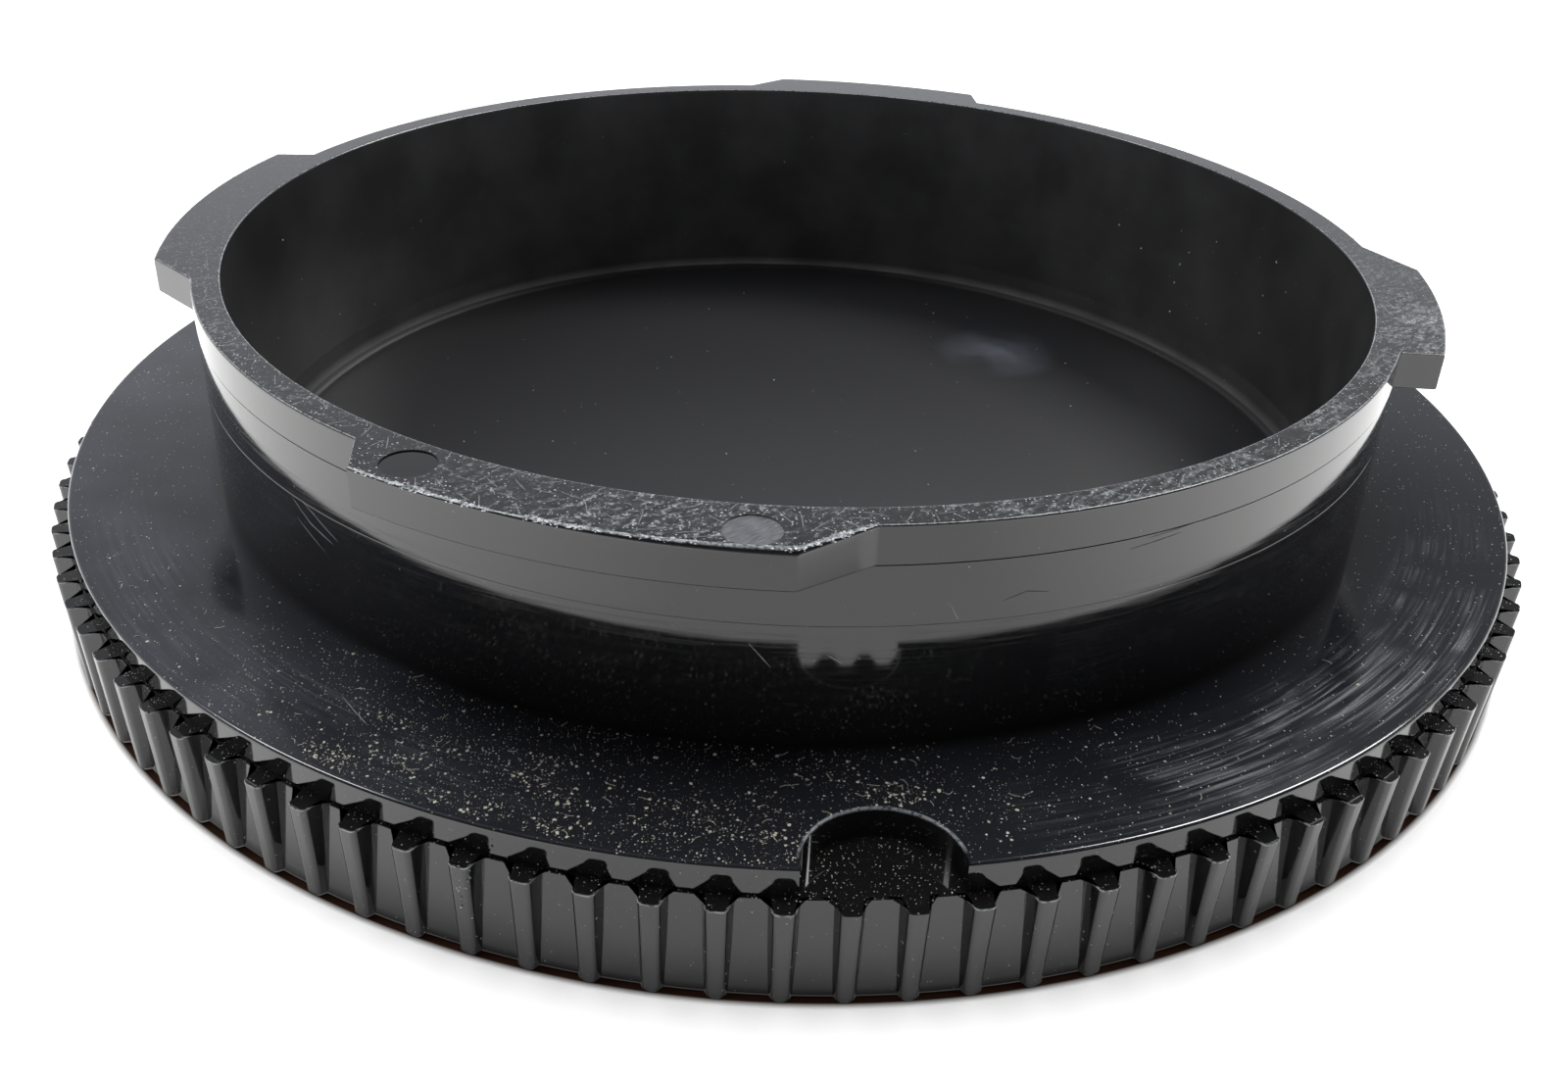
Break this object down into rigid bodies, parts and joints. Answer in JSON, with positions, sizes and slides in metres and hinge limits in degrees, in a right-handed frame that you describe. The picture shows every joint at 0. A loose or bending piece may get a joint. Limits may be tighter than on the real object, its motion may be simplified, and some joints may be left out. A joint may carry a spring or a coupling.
{
  "type": "camera body cap",
  "caption": "Round bayonet cap that closes a camera's lens opening: flange with a ribbed grip and an index notch, and a hollow collar with ramped lugs.",
  "frame": {"origin": "centre of the outer face, on which the cap stands", "axes": "+Z along the cap's axis, from the outer face towards the bayonet collar; the index notch in the flange lies on -Y"},
  "size_m": [0.0594, 0.0594, 0.0123],
  "materials": {
    "cap_plastic": "glossy"
  },
  "bodies": {
    "root": {"body_cap": "cap_plastic"}
  },
  "joints": []
}
